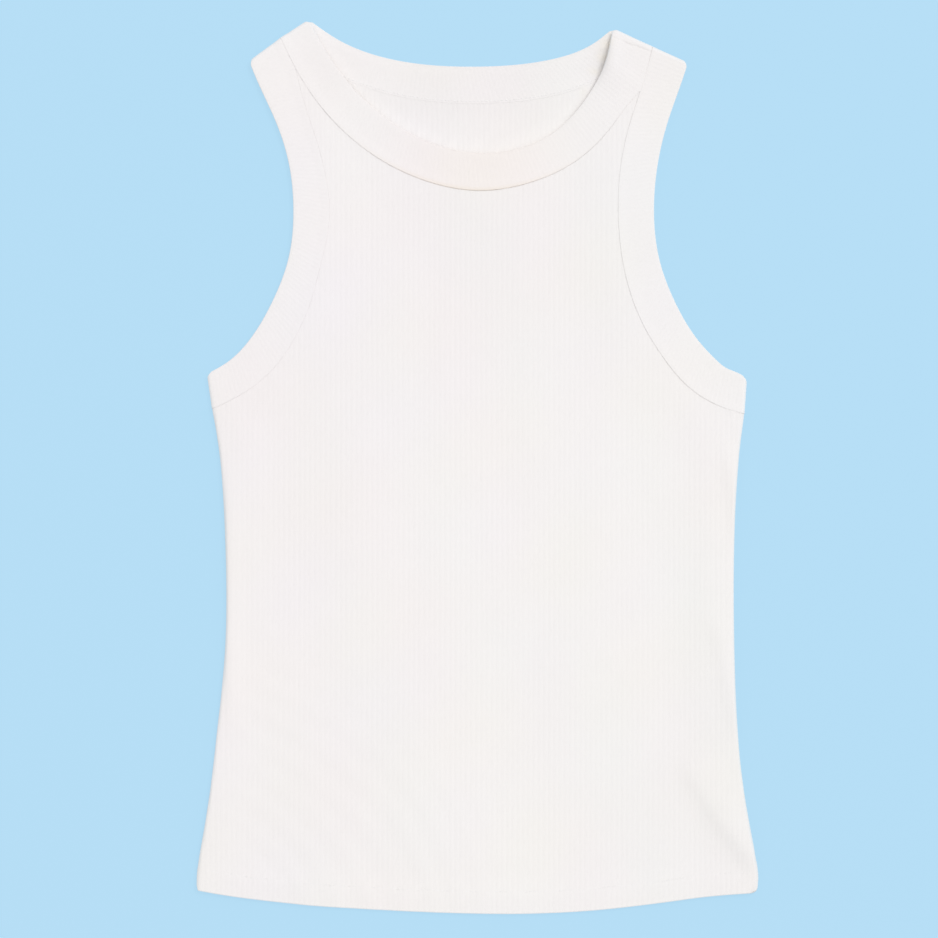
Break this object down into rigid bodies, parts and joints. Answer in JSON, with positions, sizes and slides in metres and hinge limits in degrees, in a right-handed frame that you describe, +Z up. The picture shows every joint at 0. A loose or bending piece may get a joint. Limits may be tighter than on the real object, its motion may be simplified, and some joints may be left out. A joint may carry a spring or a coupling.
{
  "type": "rib-knit tank top",
  "caption": "Sleeveless rib-knit top with a high round neck and doubled bands at neck and armholes, laid flat.",
  "frame": {"origin": "on the surface it lies on, under the middle of the laid garment's outline", "axes": "+Y to the neck, +X to the right of a person looking down on the front, +Z up off the surface"},
  "size_m": [0.376, 0.599, 0.0092],
  "materials": {
    "body_rib": "soft matt off-white rib knit",
    "band_rib": "soft matt off-white rib knit, doubled"
  },
  "bodies": {
    "root": {"front_panel": "body_rib", "back_panel": "body_rib", "neckband": "band_rib", "armband_left": "band_rib", "armband_right": "band_rib"}
  },
  "joints": []
}
